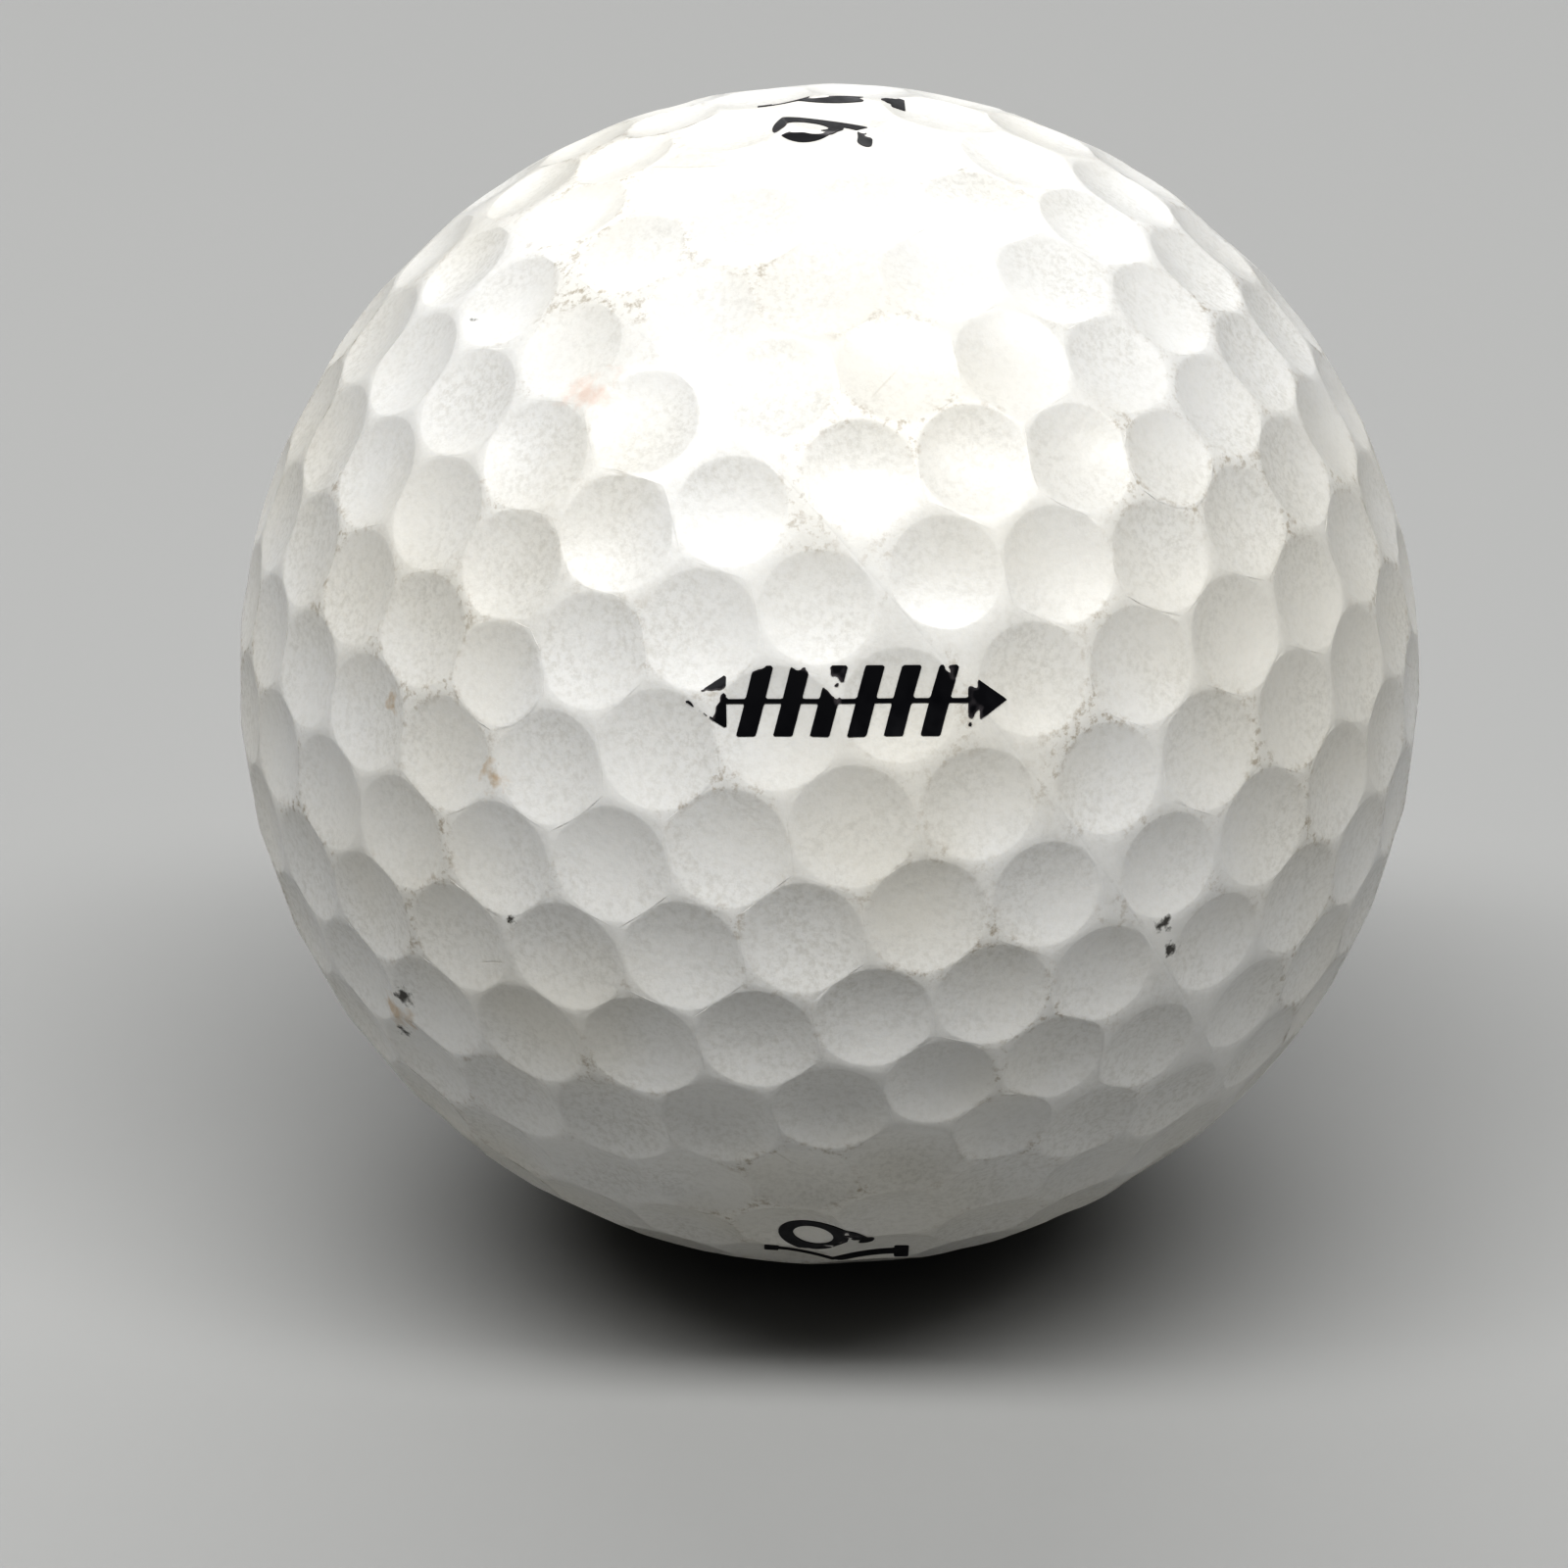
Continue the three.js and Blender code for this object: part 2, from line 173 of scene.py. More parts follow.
def lattice_directions():
    corners, faces = icosahedron()
    directions = list(corners)
    for face in faces:
        for weights in places_in_face():
            directions.append(sum(w * corner for w, corner in zip(weights, face)))
    turn = (
        Matrix.Rotation(math.radians(PATTERN_AZIMUTH), 3, "Z")
        @ Matrix.Rotation(math.radians(PATTERN_POLAR), 3, "Y")
        @ Matrix.Rotation(math.radians(PATTERN_SPIN), 3, "Z")
    )
    return normalised(np.array(directions)) @ np.array(turn).T


def pair_distances(directions):
    gaps = directions[:, None] - directions[None]
    distances = np.linalg.norm(gaps, axis=-1)
    np.fill_diagonal(distances, np.inf)
    return gaps, distances


def even_out(directions):
    """Neighbouring dimples push each other apart, and none may come near the parting plane."""
    clearance = math.sin(SEAM_CLEARANCE / BALL_RADIUS)
    sides = np.sign(directions @ SEAM_NORMAL)
    for _ in range(EVEN_OUT_STEPS):
        gaps, distances = pair_distances(directions)
        push = np.maximum(0, EVEN_OUT_REACH - distances) * EVEN_OUT_RATE / distances
        directions = normalised(directions + (gaps * push[..., None]).sum(axis=1))
        lack = np.maximum(0, clearance - sides * (directions @ SEAM_NORMAL))
        directions = normalised(directions + (sides * lack)[:, None] * SEAM_NORMAL)
    return directions


class Dimples:
    """Middle direction, rim angle and depth of every dimple."""

    def __init__(self):
        self.middles = even_out(lattice_directions())
        _, distances = pair_distances(self.middles)
        nearest = np.sort(distances, axis=1)[:, :SPACING_NEIGHBOURS]
        spacing = 2 * np.arcsin(nearest / 2).mean(axis=1)
        to_seam = np.arcsin(np.abs(self.middles @ SEAM_NORMAL))
        self.rim_angles = np.minimum(RIM_FILL * spacing / 2, to_seam) - LAND_WIDTH / 2 / BALL_RADIUS
        self.depths = 2 * self.rim_angles * BALL_RADIUS * DEPTH_PER_DIAMETER

    def angles_towards(self, index, outwards):
        """Angles from a dimple's middle to its rim, or to the ridge it shares with a neighbour."""
        towards = outwards @ self.middles.T
        apart = 1 - self.middles @ self.middles[index]
        midway = np.arctan2(apart, towards)
        midway[:, index] = math.pi
        to_ridge = midway.min(axis=1) - RIDGE_GAP / 2 / BALL_RADIUS
        return np.minimum(self.rim_angles[index], to_ridge)


DIMPLES = Dimples()


def softened(depth, rounding):
    """The depth inside a dish, easing to nothing just past its rim."""
    return 0.5 * (depth + np.sqrt(depth**2 + rounding**2))


def smooth_step(value, low, high):
    share = np.clip((value - low) / (high - low), 0, 1)
    return share * share * (3 - 2 * share)


def surface_depth(directions):
    """How far the cover lies below the ball's radius in each direction."""
    depths = np.empty(len(directions))
    batch = 20000
    for start in range(0, len(directions), batch):
        part = directions[start : start + batch]
        angles = np.arccos(np.clip(part @ DIMPLES.middles.T, -1, 1))
        dishes = DIMPLES.depths * (1 - (angles / DIMPLES.rim_angles) ** 2)
        deepest = dishes.max(axis=1)
        meeting = np.exp((dishes - deepest[:, None]) / RIDGE_ROUNDING).sum(axis=1)
        deepest += RIDGE_ROUNDING * np.log(meeting)
        depths[start : start + batch] = softened(deepest, RIM_ROUNDING)
    from_seam = np.abs(directions @ SEAM_NORMAL) * BALL_RADIUS
    groove = SEAM_GROOVE * np.exp(-((from_seam / SEAM_GROOVE_WIDTH) ** 2))
    return depths * smooth_step(from_seam, SEAM_LAND, SEAM_LAND_EDGE) + groove


def land_share(directions, reach):
    """1 on the land between dimples, falling to 0 at the given depth below it, in millimetres."""
    return np.clip(1 - surface_depth(directions) / reach, 0, 1)


# ---- the cover's outer surface ----
def tangent_frame(direction):
    helper = np.array([0.0, 0.0, 1.0]) if abs(direction[2]) < 0.9 else np.array([1.0, 0.0, 0.0])
    right = normalised(np.cross(helper, direction))
    return right, np.cross(direction, right)


def neighbour_triangles():
    """Triangles of dimples, anticlockwise from outside: the hull of their middles."""
    hull = bmesh.new()
    for middle in DIMPLES.middles:
        hull.verts.new(middle)
    hull.verts.index_update()
    bmesh.ops.convex_hull(hull, input=hull.verts)
    hull.faces.ensure_lookup_table()
    bmesh.ops.triangulate(hull, faces=hull.faces)
    triangles = []
    for face in hull.faces:
        i, j, k = [vertex.index for vertex in face.verts]
        a, b, c = DIMPLES.middles[[i, j, k]]
        triangles.append((i, j, k) if np.dot(a, np.cross(b, c)) > 0 else (i, k, j))
    hull.free()
    return triangles


class CoverSkin:
    """Every dimple as rings round its middle, and the land between them as fans."""

    def __init__(self):
        self.directions = []
        self.faces = []
        self.ring_towards = {}  # (dimple, neighbour) -> vertex on the rim that faces the neighbour
        self.rims = {}
        triangles = neighbour_triangles()
        neighbours = {index: set() for index in range(len(DIMPLES.middles))}
        for i, j, k in triangles:
            neighbours[i] |= {j, k}
            neighbours[j] |= {i, k}
            neighbours[k] |= {i, j}
        for index in range(len(DIMPLES.middles)):
            self.add_dimple(index, neighbours[index])
        for corners in triangles:
            self.add_land(corners)

    def add_vertex(self, direction):
        self.directions.append(direction)
        return len(self.directions) - 1

    def add_dimple(self, index, neighbours):
        middle = DIMPLES.middles[index]
        right, up = tangent_frame(middle)

        def bearing(other):
            return math.atan2(DIMPLES.middles[other] @ up, DIMPLES.middles[other] @ right)

        ordered = sorted(neighbours, key=bearing)
        bearings = []
        for place, other in enumerate(ordered):
            start = bearing(other)
            end = bearing(ordered[(place + 1) % len(ordered)])
            sweep = (end - start) % (2 * math.pi)
            for step in range(SEGMENTS_PER_NEIGHBOUR):
                bearings.append(start + sweep * step / SEGMENTS_PER_NEIGHBOUR)
        turns = np.array(bearings)[:, None]
        outwards = np.cos(turns) * right + np.sin(turns) * up
        rim = DIMPLES.angles_towards(index, outwards)[:, None]
        centre = self.add_vertex(middle)
        inner = None
        for fraction in RING_FRACTIONS:
            around = np.cos(fraction * rim) * middle + np.sin(fraction * rim) * outwards
            ring = [self.add_vertex(direction) for direction in around]
            for place in range(len(ring)):
                after = (place + 1) % len(ring)
                if inner is None:
                    self.faces.append((centre, ring[place], ring[after]))
                else:
                    self.faces.append((inner[place], ring[place], ring[after], inner[after]))
            inner = ring
        self.rims[index] = inner
        for place, other in enumerate(ordered):
            self.ring_towards[index, other] = place * SEGMENTS_PER_NEIGHBOUR

    def arc(self, dimple, start, end):
        """Rim vertices of a dimple, clockwise from one neighbour's side to the other's."""
        rim = self.rims[dimple]
        first = self.ring_towards[dimple, start]
        last = self.ring_towards[dimple, end]
        count = (first - last) % len(rim)
        return [rim[(first - step) % len(rim)] for step in range(count + 1)]

    def add_land(self, corners):
        i, j, k = corners
        outline = self.arc(j, i, k) + self.arc(k, j, i) + self.arc(i, k, j)
        middle = normalised(np.mean([self.directions[vertex] for vertex in outline], axis=0))
        centre = self.add_vertex(middle)
        for place, vertex in enumerate(outline):
            self.faces.append((vertex, outline[(place + 1) % len(outline)], centre))


# ---- mesh helpers ----
def object_from(name, mesh):
    """Links a mesh into the scene, shaded smooth except at real edges."""
    mesh.set_sharp_from_angle(angle=math.radians(SHARP_ANGLE))
    piece = bpy.data.objects.new(name, mesh)
    bpy.context.scene.collection.objects.link(piece)
    return piece


def mesh_from(name, points, faces):
    """A smooth-shaded mesh from points in millimetres."""
    mesh = bpy.data.meshes.new(name)
    mesh.from_pydata(np.asarray(points) * MM, [], faces)
    mesh.shade_smooth()
    mesh.update()
    return mesh


def add_attribute(mesh, name, values):
    attribute = mesh.attributes.new(name, "FLOAT", "POINT")
    attribute.data.foreach_set("value", np.asarray(values, dtype=np.float32))


def vertex_directions(mesh):
    flat = np.empty(3 * len(mesh.vertices))
    mesh.vertices.foreach_get("co", flat)
    return normalised(flat.reshape(-1, 3))


def finish_piece(piece, material, node):
    piece.data.materials.append(material)
    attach(piece, "root")
    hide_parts(node)


# ---- the cover halves ----
def cut_beside_seam(mesh, distance, side, keep_all=False):
    """Cuts along a plane beside the parting plane, and drops what lies behind it."""
    everything = mesh.verts[:] + mesh.edges[:] + mesh.faces[:]
    normal = Vector(SEAM_NORMAL) * side
    bmesh.ops.bisect_plane(
        mesh,
        geom=everything,
        dist=1e-8,
        plane_co=normal * distance * MM,
        plane_no=normal,
        clear_inner=not keep_all,
    )


def drop_onto_cover(mesh):
    """Moves every vertex in or out to the cover's own surface."""
    directions = normalised(np.array([vertex.co for vertex in mesh.verts]))
    points = directions * (BALL_RADIUS - surface_depth(directions))[:, None] * MM
    for vertex, point in zip(mesh.verts, points):
        vertex.co = point


def cavity_half(side):
    """Half of the cavity's inward-facing sphere."""
    cavity = bmesh.new()
    bmesh.ops.create_icosphere(cavity, subdivisions=5, radius=CAVITY_RADIUS * MM)
    cut_beside_seam(cavity, 0, side)
    bmesh.ops.reverse_faces(cavity, faces=cavity.faces)
    mesh = bpy.data.meshes.new("cavity")
    cavity.to_mesh(mesh)
    cavity.free()
    return mesh


def cover_half(name, skin_mesh, side, material, node):
    """One moulding: half of the skin, half of the cavity, and the parting face between them."""
    half = bmesh.new()
    half.from_mesh(skin_mesh)
    cut_beside_seam(half, 0, side)
    for distance in (SEAM_GROOVE_WIDTH, SEAM_LAND, (SEAM_LAND + SEAM_LAND_EDGE) / 2, SEAM_LAND_EDGE):
        cut_beside_seam(half, distance, side, keep_all=True)
    drop_onto_cover(half)
    cavity = cavity_half(side)
    half.from_mesh(cavity)
    bpy.data.meshes.remove(cavity)
    open_edges = [edge for edge in half.edges if edge.is_boundary]
    towards_other_half = Vector(SEAM_NORMAL) * -side
    bmesh.ops.triangle_fill(half, edges=open_edges, use_beauty=True, normal=towards_other_half)
    bmesh.ops.recalc_face_normals(half, faces=half.faces)
    for face in half.faces:
        face.smooth = True
    mesh = bpy.data.meshes.new(name)
    half.to_mesh(mesh)
    half.free()
    add_attribute(mesh, "land", land_share(vertex_directions(mesh), LAND_REACH))
    finish_piece(object_from(name, mesh), material, node)


# ---- the core ----
def make_core(material):
    """The ground rubber core: round, with the shallow flat that grinding its flash off leaves."""
    band_half_width = 0.9
    band_depth = 0.04
    shape = bmesh.new()
    bmesh.ops.create_icosphere(shape, subdivisions=6, radius=1.0)
    for vertex in shape.verts:
        height = vertex.co.z * CORE_RADIUS
        depth = band_depth * math.exp(-((height / band_half_width) ** 4))
        vertex.co *= (CORE_RADIUS - depth) * MM
    for face in shape.faces:
        face.smooth = True
    mesh = bpy.data.meshes.new("core_rubber")
    shape.to_mesh(mesh)
    shape.free()
    finish_piece(object_from("core_rubber", mesh), material, "core")


# ---- printed marks ----
class PrintPlace:
    """Where a print is laid: its middle on the ball and the directions of its own x and y."""

    def __init__(self, middle, x):
        self.middle = middle
        self.x = x
        self.y = np.cross(middle, x)

    def directions(self, x, y):
        reach = np.hypot(x, y)
        angle = reach / BALL_RADIUS
        share = np.sin(angle) / np.maximum(reach, 1e-9)
        along_x = (x * share)[..., None] * self.x
        along_y = (y * share)[..., None] * self.y
        return np.cos(angle)[..., None] * self.middle + along_x + along_y


PRINT_SIDE = direction_from(PRINT_AZIMUTH, PRINT_ELEVATION)
PRINT_RIGHT = normalised(np.cross([0.0, 0.0, 1.0], PRINT_SIDE))
PRINT_POLE = np.cross(PRINT_SIDE, PRINT_RIGHT)


def middle_near_pole(pole_sign, distance):
    angle = distance / BALL_RADIUS
    return pole_sign * math.cos(angle) * PRINT_POLE + math.sin(angle) * PRINT_SIDE


def play_number_place(pole_sign):
    middle = middle_near_pole(pole_sign, NUMBER_FROM_POLE)
    return PrintPlace(middle, np.cross(PRINT_RIGHT, middle))


def pole_bar_place(pole_sign):
    return PrintPlace(middle_near_pole(pole_sign, POLE_BAR_FROM_POLE), PRINT_RIGHT)


def box_distance(x, y, half_x, half_y):
    """Distance outside a box round the origin; negative inside."""
    over_x, over_y = np.abs(x) - half_x, np.abs(y) - half_y
    outside = np.hypot(np.maximum(over_x, 0), np.maximum(over_y, 0))
    return outside + np.minimum(np.maximum(over_x, over_y), 0)


def side_mark_distance(x, y):
    """A double-ended arrow crossed by slanted bars."""
    half = SIDE_MARK_LENGTH / 2
    distance = box_distance(x, y, half - ARROW_LENGTH / 2, SIDE_MARK_SHAFT / 2)
    bar_room = 2 * (half - ARROW_LENGTH) - SIDE_MARK_STROKE
    for bar in range(SIDE_MARK_BARS):
        middle = bar_room * ((bar + 0.5) / SIDE_MARK_BARS - 0.5)
        leaning = x - middle - SIDE_MARK_SLANT * y
        slanted = box_distance(leaning, y, SIDE_MARK_STROKE / 2, SIDE_MARK_HEIGHT / 2)
        distance = np.minimum(distance, slanted)
    taper = ARROW_WIDTH / 2 / ARROW_LENGTH
    from_tip = half - np.abs(x)
    arrow = np.maximum(np.abs(y) - from_tip * taper, from_tip - ARROW_LENGTH)
    return np.minimum(distance, arrow)


def arc_distance(x, y, radius, start, sweep):
    """Distance to an arc round the origin that runs clockwise from start, in radians."""
    turn = (start - np.arctan2(y, x)) % (2 * math.pi)
    near_arc = np.abs(np.hypot(x, y) - radius)
    ends = []
    for angle in (start, start - sweep):
        ends.append(np.hypot(x - radius * math.cos(angle), y - radius * math.sin(angle)))
    return np.where(turn <= sweep, near_arc, np.minimum(*ends))


def play_number_distance(x, y):
    """The numeral six: a ring, and a tail that leaves the ring's side on a wider arc."""
    ring_y = NUMBER_OFFSET - NUMBER_RING_RADIUS / 2
    tail_x = NUMBER_TAIL_RADIUS - NUMBER_RING_RADIUS
    ring = np.abs(np.hypot(x, y - ring_y) - NUMBER_RING_RADIUS)
    sweep = math.radians(NUMBER_TAIL_TURN)
    tail = arc_distance(x - tail_x, y - ring_y, NUMBER_TAIL_RADIUS, math.pi, sweep)
    return np.minimum(ring, tail) - NUMBER_STROKE / 2


def pole_bar_distance(x, y):
    """A bar with a tick across each end."""
    half = POLE_BAR_LENGTH / 2
    bar = box_distance(x, y, half, POLE_BAR_WIDTH / 2)
    ticks = box_distance(np.abs(x) - half, y, POLE_BAR_WIDTH / 2, POLE_BAR_TICK / 2)
    return np.minimum(bar, ticks)


def noise_at(x, y, size, seed):
    """Smooth noise, about -1 to 1, with features of the given size in millimetres."""
    values = np.empty(x.shape)
    for place in np.ndindex(x.shape):
        point = Vector((x[place] / size, y[place] / size, 7.3 * seed))
        values[place] = noise.noise(point) + 0.5 * noise.noise(point * 2.3)
    return values


class InkFilm:
    """A thin film of ink on the cover, cut from a square grid along the mark's worn outline."""

    def __init__(self, place, distance, half_x, half_y, wear):
        self.place = place
        columns = np.arange(-half_x, half_x + INK_GRID, INK_GRID)
        rows = np.arange(-half_y, half_y + INK_GRID, INK_GRID)
        self.x, self.y = np.meshgrid(columns, rows)
        directions = place.directions(self.x.ravel(), self.y.ravel())
        land = land_share(directions, RUBBED_REACH).reshape(self.x.shape)
        self.wear = wear(self.x, self.y, land)
        self.inside = np.minimum(-distance(self.x, self.y), -self.wear * WEAR_REACH)
        self.index = {}
        self.flat = []
        self.faces = []
        for row in range(len(rows) - 1):
            for column in range(len(columns) - 1):
                self.add_cell(row, column)

    def vertex(self, key, row, column, share_row=0.0, share_column=0.0):
        """The vertex of this key, made on first use, part of the way into its grid cell."""
        if key not in self.index:
            self.index[key] = len(self.flat)
            x = self.x[row, column] + share_column * INK_GRID
            y = self.y[row, column] + share_row * INK_GRID
            self.flat.append((x, y, self.wear[row, column]))
        return self.index[key]

    def crossing(self, here, there):
        """The vertex where the film's edge crosses a grid line between two corners."""
        (row, column), (row_b, column_b) = sorted((here, there))
        a, b = self.inside[row, column], self.inside[row_b, column_b]
        share = min(1 - CROSSING_MARGIN, max(CROSSING_MARGIN, a / (a - b)))
        upright = row_b > row
        key = (row, column, "up" if upright else "along")
        return self.vertex(key, row, column, share * upright, share * (not upright))

    def add_cell(self, row, column):
        corners = [(row, column), (row, column + 1), (row + 1, column + 1), (row + 1, column)]
        inside = [self.inside[corner] > 0 for corner in corners]
        if not any(inside):
            return
        outline = []
        for place in range(4):
            after = (place + 1) % 4
            if inside[place]:
                outline.append(self.vertex(corners[place], *corners[place]))
            if inside[place] != inside[after]:
                outline.append(self.crossing(corners[place], corners[after]))
        self.faces.append(outline)

    def mesh(self, name):
        flat = np.array(self.flat)
        directions = self.place.directions(flat[:, 0], flat[:, 1])
        base = BALL_RADIUS - surface_depth(directions)
        top = directions * (base + INK_TOP)[:, None]
        bottom = directions * (base + INK_BOTTOM)[:, None]
        count = len(flat)
        faces = [list(face) for face in self.faces]
        faces += [[vertex + count for vertex in reversed(face)] for face in self.faces]
        directed = set()
        for face in self.faces:
            directed |= set(zip(face, face[1:] + face[:1]))
        for a, b in sorted(directed):
            if (b, a) not in directed:
                faces.append([b, a, a + count, b + count])
        mesh = mesh_from(name, np.concatenate([top, bottom]), faces)
        add_attribute(mesh, "wear", np.tile(flat[:, 2], 2))
        return mesh


def front_wear(x, y, land):
    """Rubbed off on the lands, and more so towards the left end."""
    left = np.clip(-x / (SIDE_MARK_LENGTH / 2), -0.6, 1.0)
    return 0.60 * land + 0.50 * noise_at(x, y, 0.55, 1) + 0.16 * left - 0.60


def back_wear(x, y, land):
    """Rubbed less than the front mark."""
    return 0.50 * land + 0.40 * noise_at(x, y, 0.6, 2) - 0.62


def top_wear(x, y, land):
    """The upper prints have taken the most rubbing."""
    return 0.55 * land + 0.65 * noise_at(x, y, 0.8, 3) - 0.42


def bottom_wear(x, y, land):
    """The lower prints are the least rubbed."""
    return 0.40 * land + 0.50 * noise_at(x, y, 0.5, 4) - 0.55


def make_print(node, place, distance, half_x, half_y, wear, material):
    name = node + "_ink"
    film = InkFilm(place, distance, half_x, half_y, wear)
    finish_piece(object_from(name, film.mesh(name)), material, node)


def make_prints(material):
    margin = 0.1  # grid round each mark
    side_x = SIDE_MARK_LENGTH / 2 + margin
    side_y = SIDE_MARK_HEIGHT / 2 + margin
    front = PrintPlace(PRINT_SIDE, PRINT_RIGHT)
    back = PrintPlace(-PRINT_SIDE, -PRINT_RIGHT)
    make_print("side_mark_front", front, side_mark_distance, side_x, side_y, front_wear, material)
    make_print("side_mark_back", back, side_mark_distance, side_x, side_y, back_wear, material)
    number_reach = 3.2  # half the side of a square that holds the whole numeral
    bar_x = POLE_BAR_LENGTH / 2 + POLE_BAR_WIDTH
    for end, sign, wear in (("top", 1, top_wear), ("bottom", -1, bottom_wear)):
        make_print(
            f"play_number_{end}",
            play_number_place(sign),
            play_number_distance,
            number_reach,
            number_reach,
            wear,
            material,
        )
        make_print(
            f"pole_bar_{end}",
            pole_bar_place(sign),
            pole_bar_distance,
            bar_x,
            POLE_BAR_TICK,
            wear,
            material,
        )


# ---- materials ----
class Shader:
    """Builds one material's node tree."""

    def __init__(self, name):
        self.material = bpy.data.materials.new(name)
        self.material.use_nodes = True
        self.tree = self.material.node_tree
        self.principled = self.tree.nodes["Principled BSDF"]
        self.place = self.node("ShaderNodeTexCoord").outputs["Object"]

    def node(self, kind, **settings):
        made = self.tree.nodes.new(kind)
        for key, value in settings.items():
            setattr(made, key, value)
        return made

    def put(self, socket, value):
        if isinstance(value, bpy.types.NodeSocket):
            self.tree.links.new(value, socket)
        else:
            socket.default_value = value

    def math(self, operation, a, b=0.0):
        made = self.node("ShaderNodeMath", operation=operation)
        self.put(made.inputs[0], a)
        self.put(made.inputs[1], b)
        return made.outputs[0]

    def span(self, value, low, high, to_low=0.0, to_high=1.0):
        """Maps low..high to to_low..to_high, clamped."""
        made = self.node("ShaderNodeMapRange", clamp=True)
        self.put(made.inputs["Value"], value)
        self.put(made.inputs["From Min"], low)
        self.put(made.inputs["From Max"], high)
        self.put(made.inputs["To Min"], to_low)
        self.put(made.inputs["To Max"], to_high)
        return made.outputs["Result"]

    def noise(self, size, detail=3.0, roughness=0.55):
        """Noise with features of the given size in millimetres."""
        made = self.node("ShaderNodeTexNoise")
        self.put(made.inputs["Vector"], self.place)
        self.put(made.inputs["Scale"], 1 / (size * MM))
        self.put(made.inputs["Detail"], detail)
        self.put(made.inputs["Roughness"], roughness)
        return made.outputs["Fac"]

    def mix(self, factor, a, b):
        made = self.node("ShaderNodeMix", data_type="RGBA")
        self.put(made.inputs["Factor"], factor)
        self.put(made.inputs["A"], a)
        self.put(made.inputs["B"], b)
        return made.outputs["Result"]

    def attribute(self, name):
        return self.node("ShaderNodeAttribute", attribute_name=name).outputs["Fac"]

    def distance_to(self, point):
        made = self.node("ShaderNodeVectorMath", operation="DISTANCE")
        self.put(made.inputs[0], self.place)
        self.put(made.inputs[1], tuple(point))
        return made.outputs["Value"]

    def near(self, azimuth, elevation, radius, softness, ragged):
        """1 at a place on the ball, 0 beyond the radius in millimetres, with a ragged edge."""
        direction = direction_from(azimuth, elevation)
        wobble = self.math("SUBTRACT", self.noise(radius * 0.8, 3.0), 0.5)
        pushed = self.math("MULTIPLY", wobble, 2 * ragged * radius * MM)
        distance = self.math("ADD", self.distance_to(direction * BALL_RADIUS * MM), pushed)
        return self.span(distance, radius * MM * (1 - softness), radius * MM, 1.0, 0.0)

    def bump(self, height, strength, distance):
        made = self.node("ShaderNodeBump")
        self.put(made.inputs["Height"], height)
        self.put(made.inputs["Strength"], strength)
        self.put(made.inputs["Distance"], distance * MM)
        return made.outputs["Normal"]


def multiply(shader, *factors):
    product = factors[0]
    for factor in factors[1:]:
        product = shader.math("MULTIPLY", product, factor)
    return product


def largest(shader, masks):
    found = masks[0]
    for mask in masks[1:]:
        found = shader.math("MAXIMUM", found, mask)
    return found


def scratches(shader, count, seed):
    """Scattered fine arcs: where spheres of various sizes pass through the cover, each cut short."""
    random = np.random.default_rng(seed)
    arcs = []
    for _ in range(count):
        middle = normalised(random.normal(size=3))
        sideways = normalised(np.cross(middle, random.normal(size=3)))
        bend = random.uniform(4, 25)
        length = random.uniform(1.2, 4.5)
        to_bend = shader.distance_to((middle * BALL_RADIUS + sideways * bend) * MM)
        off_arc = shader.math("ABSOLUTE", shader.math("SUBTRACT", to_bend, bend * MM))
        line = shader.span(off_arc, 0.01 * MM, 0.05 * MM, 1.0, 0.0)
        from_middle = shader.distance_to(middle * BALL_RADIUS * MM)
        faded = shader.span(from_middle, length * 0.25 * MM, length * 0.5 * MM, 1.0, 0.0)
        arcs.append(shader.math("MULTIPLY", line, faded))
    return largest(shader, arcs)


def aged_white(shader, land):
    """Dulled white, yellowed in patches, with grey grain that is stronger inside the dimples."""
    white = (0.71, 0.705, 0.685, 1)
    cream = (0.69, 0.675, 0.63, 1)
    grey = (0.47, 0.455, 0.41, 1)
    colour = shader.mix(shader.span(shader.noise(11, 2.0), 0.42, 0.62), white, cream)
    grain = shader.span(shader.noise(0.22, 4.0, 0.7), 0.44, 0.64)
    patches = shader.span(shader.noise(4, 3.0), 0.36, 0.62, 0.25, 1.0)
    off_land = shader.span(land, 0.0, 1.0, 1.0, 0.45)
    return shader.mix(multiply(shader, grain, patches, off_land, 0.38), colour, grey)


def add_grime(shader, colour, land, cuts):
    """Brown dirt caught along the lands in patches, and in fine scratches."""
    grime = (0.26, 0.20, 0.12, 1)
    patches = shader.span(shader.noise(5, 3.0), 0.47, 0.62)
    grain = shader.span(shader.noise(0.30, 4.0, 0.7), 0.50, 0.66)
    colour = shader.mix(multiply(shader, land, patches, grain, 0.60), colour, grime)
    return shader.mix(shader.math("MULTIPLY", cuts, 0.15), colour, grime)


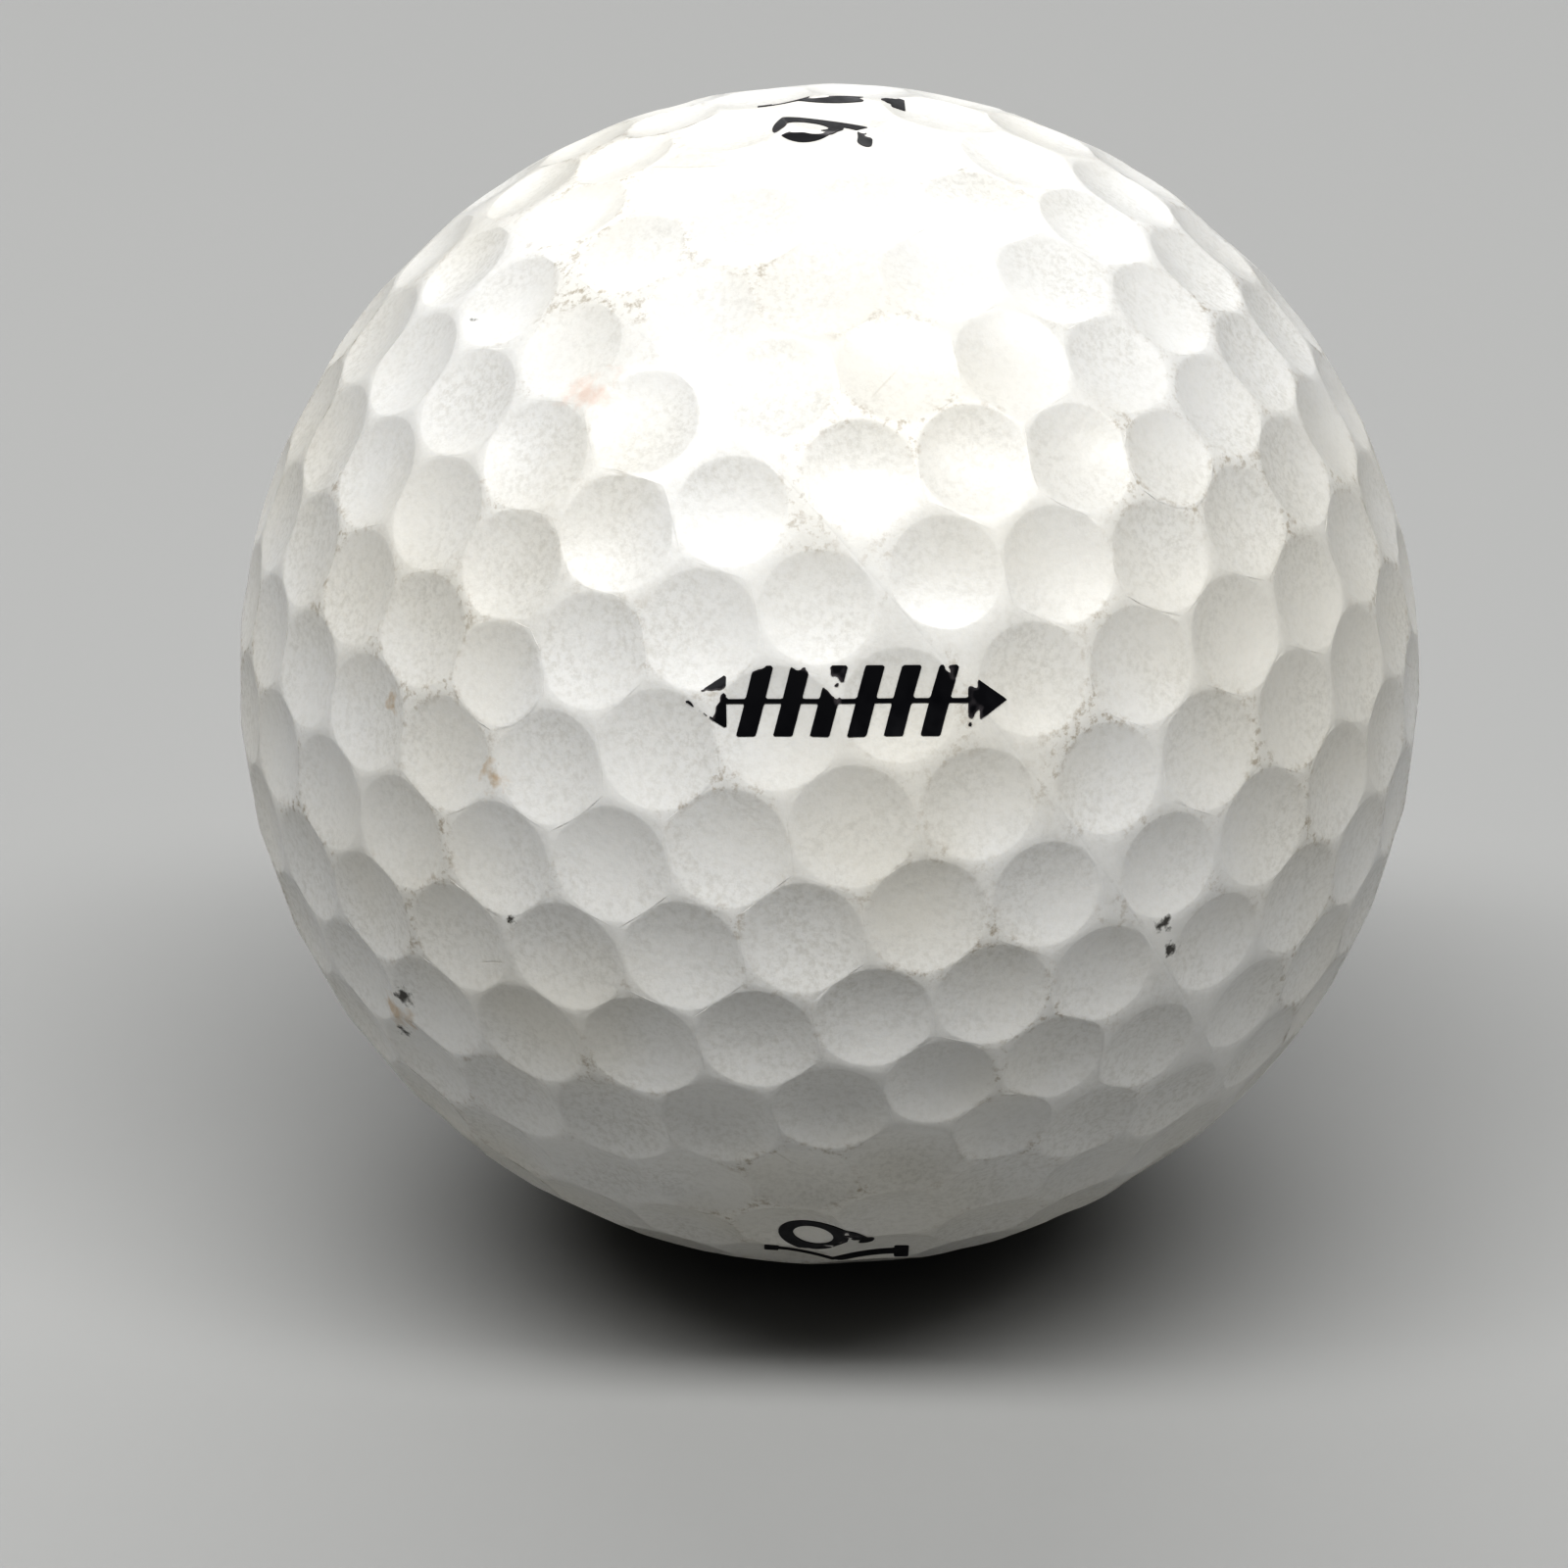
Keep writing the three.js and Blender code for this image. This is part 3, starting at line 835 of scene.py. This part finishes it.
def add_stains(shader, colour):
    """The separate marks that this ball has picked up."""
    specks = [  # azimuth and elevation in degrees, radius in millimetres
        (-59.4, -4.5, 0.34),
        (-58.3, -7.4, 0.30),
        (-90.6, 54.7, 0.20),
        (-77.0, 8.7, 0.20),
        (-118.4, -4.0, 0.16),
        (-143.8, 47.0, 0.18),
        (-134.0, -16.6, 0.42),
        (-137.0, -22.5, 0.38),
    ]
    browns = [
        (-120.0, 8.7, 0.55),
        (-133.0, 12.5, 0.45),
        (-136.0, -19.5, 0.80),
    ]
    black = (0.045, 0.04, 0.033, 1)
    brown = (0.42, 0.27, 0.11, 1)
    pink = (0.62, 0.42, 0.33, 1)
    brown_marks = largest(shader, [shader.near(*mark, softness=0.9, ragged=1.6) for mark in browns])
    colour = shader.mix(shader.math("MULTIPLY", brown_marks, 0.55), colour, brown)
    scuff = shader.near(-119.1, 43.0, 0.9, softness=0.9, ragged=1.8)
    colour = shader.mix(shader.math("MULTIPLY", scuff, 0.45), colour, pink)
    black_marks = largest(shader, [shader.near(*mark, softness=0.7, ragged=1.5) for mark in specks])
    return shader.mix(shader.math("MULTIPLY", black_marks, 0.92), colour, black)


def cover_material():
    shader = Shader("worn_white_cover")
    land = shader.attribute("land")
    cuts = scratches(shader, 10, 5)
    colour = add_stains(shader, add_grime(shader, aged_white(shader, land), land, cuts))
    shader.put(shader.principled.inputs["Base Color"], colour)
    rough = shader.span(shader.noise(2.2, 4.0, 0.6), 0.35, 0.65, 0.36, 0.55)
    shader.put(shader.principled.inputs["Roughness"], rough)
    shader.principled.inputs["IOR"].default_value = 1.5
    shader.principled.inputs["Coat Weight"].default_value = 0.18
    shader.principled.inputs["Coat Roughness"].default_value = 0.28
    shader.principled.inputs["Subsurface Weight"].default_value = 0.06
    shader.principled.inputs["Subsurface Radius"].default_value = (1.0, 0.85, 0.65)
    shader.principled.inputs["Subsurface Scale"].default_value = 0.4 * MM
    peel = shader.math("MULTIPLY", shader.noise(0.9, 2.0), 0.020)
    pits = shader.math("MULTIPLY", shader.noise(0.16, 3.0, 0.6), 0.006)
    cut_depth = shader.math("MULTIPLY", cuts, -0.006)
    height = shader.math("ADD", shader.math("ADD", peel, pits), cut_depth)
    shader.put(shader.principled.inputs["Normal"], shader.bump(height, 1.0, 1.0))
    return shader.material


def ink_material():
    shader = Shader("worn_black_ink")
    wear = shader.attribute("wear")
    black = (0.010, 0.010, 0.013, 1)
    rubbed = (0.16, 0.145, 0.15, 1)
    thin = shader.span(wear, -0.16, -0.02)
    colour = shader.mix(shader.math("MULTIPLY", thin, shader.noise(0.2, 3.0)), black, rubbed)
    shader.put(shader.principled.inputs["Base Color"], colour)
    shader.put(shader.principled.inputs["Roughness"], shader.span(shader.noise(0.6), 0.3, 0.7, 0.32, 0.5))
    shader.put(shader.principled.inputs["Normal"], shader.bump(shader.noise(0.25), 0.2, 0.01))
    return shader.material


def core_material():
    shader = Shader("ground_rubber")
    streaks = shader.noise(0.5, 4.0, 0.7)
    light = (0.46, 0.105, 0.055, 1)
    dark = (0.34, 0.07, 0.035, 1)
    shader.put(shader.principled.inputs["Base Color"], shader.mix(streaks, dark, light))
    shader.put(shader.principled.inputs["Roughness"], shader.span(streaks, 0.3, 0.7, 0.6, 0.85))
    shader.put(shader.principled.inputs["Normal"], shader.bump(streaks, 0.4, 0.05))
    return shader.material


def floor_material():
    shader = Shader("pale_floor")
    shader.principled.inputs["Base Color"].default_value = (0.37, 0.37, 0.365, 1)
    shader.principled.inputs["Roughness"].default_value = 0.75
    return shader.material


# ---- floor, light and camera ----
def make_floor():
    radius = 8000.0
    sides = 64
    outline = []
    for side in range(sides):
        turn = 2 * math.pi * side / sides
        outline.append((radius * math.cos(turn), radius * math.sin(turn), -BALL_RADIUS))
    mesh = mesh_from("floor", outline, [list(range(sides))])
    mesh.materials.append(floor_material())
    floor = bpy.data.objects.new("floor", mesh)
    bpy.context.scene.collection.objects.link(floor)


def add_light(name, azimuth, elevation, distance, width, height, power):
    """A rectangular soft light, in millimetres, pointed at the ball."""
    data = bpy.data.lights.new(name, "AREA")
    data.shape = "RECTANGLE"
    data.size = width * MM
    data.size_y = height * MM
    data.energy = power
    light = bpy.data.objects.new(name, data)
    bpy.context.scene.collection.objects.link(light)
    outwards = Vector(direction_from(azimuth, elevation))
    light.location = outwards * distance * MM
    light.rotation_mode = "QUATERNION"
    light.rotation_quaternion = outwards.to_track_quat("Z", "Y")


def make_lights():
    add_light("key", -92, 66, 3000, 5000, 700, 148)
    add_light("back", 95, 42, 3500, 4500, 1800, 62)
    world = bpy.data.worlds.new("studio")
    world.use_nodes = True
    world.node_tree.nodes["Background"].inputs["Color"].default_value = (0.80, 0.82, 0.84, 1)
    world.node_tree.nodes["Background"].inputs["Strength"].default_value = 0.13
    bpy.context.scene.world = world
    bpy.context.scene.view_settings.view_transform = "Standard"
    bpy.context.scene.view_settings.look = "Very High Contrast"
    bpy.context.scene.view_settings.exposure = -0.62


CAMERA_ELEVATION = 20.0
CAMERA_DISTANCE = 6.16  # ball radii from the ball's centre
VIEW_WIDTH = 24.66  # degrees
BALL_RIGHT = 0.695  # degrees that the ball's centre lies right of the picture's middle
BALL_ABOVE = 1.712  # degrees that it lies above


def make_camera():
    data = bpy.data.cameras.new("camera")
    data.sensor_width = 36
    data.lens = data.sensor_width / 2 / math.tan(math.radians(VIEW_WIDTH / 2))
    data.clip_start = 0.01
    data.clip_end = 20
    camera = bpy.data.objects.new("camera", data)
    bpy.context.scene.collection.objects.link(camera)
    back = Vector(direction_from(-90, CAMERA_ELEVATION))
    right = Vector((1, 0, 0))
    up = back.cross(right)
    camera.location = back * CAMERA_DISTANCE * BALL_RADIUS * MM
    aside = right * math.tan(math.radians(BALL_RIGHT))
    above = up * math.tan(math.radians(BALL_ABOVE))
    aim = -back - aside - above
    camera.rotation_mode = "QUATERNION"
    camera.rotation_quaternion = aim.to_track_quat("-Z", "Y")
    bpy.context.scene.camera = camera


# ---- assembly ----
def make_ball():
    skin = CoverSkin()
    skin_mesh = mesh_from("cover_skin", np.array(skin.directions) * BALL_RADIUS, skin.faces)
    cover = cover_material()
    cover_half("cover_upper_moulding", skin_mesh, 1, cover, "cover_half_upper")
    cover_half("cover_lower_moulding", skin_mesh, -1, cover, "cover_half_lower")
    bpy.data.meshes.remove(skin_mesh)
    make_core(core_material())
    make_prints(ink_material())


make_camera()
make_lights()
make_floor()
make_ball()
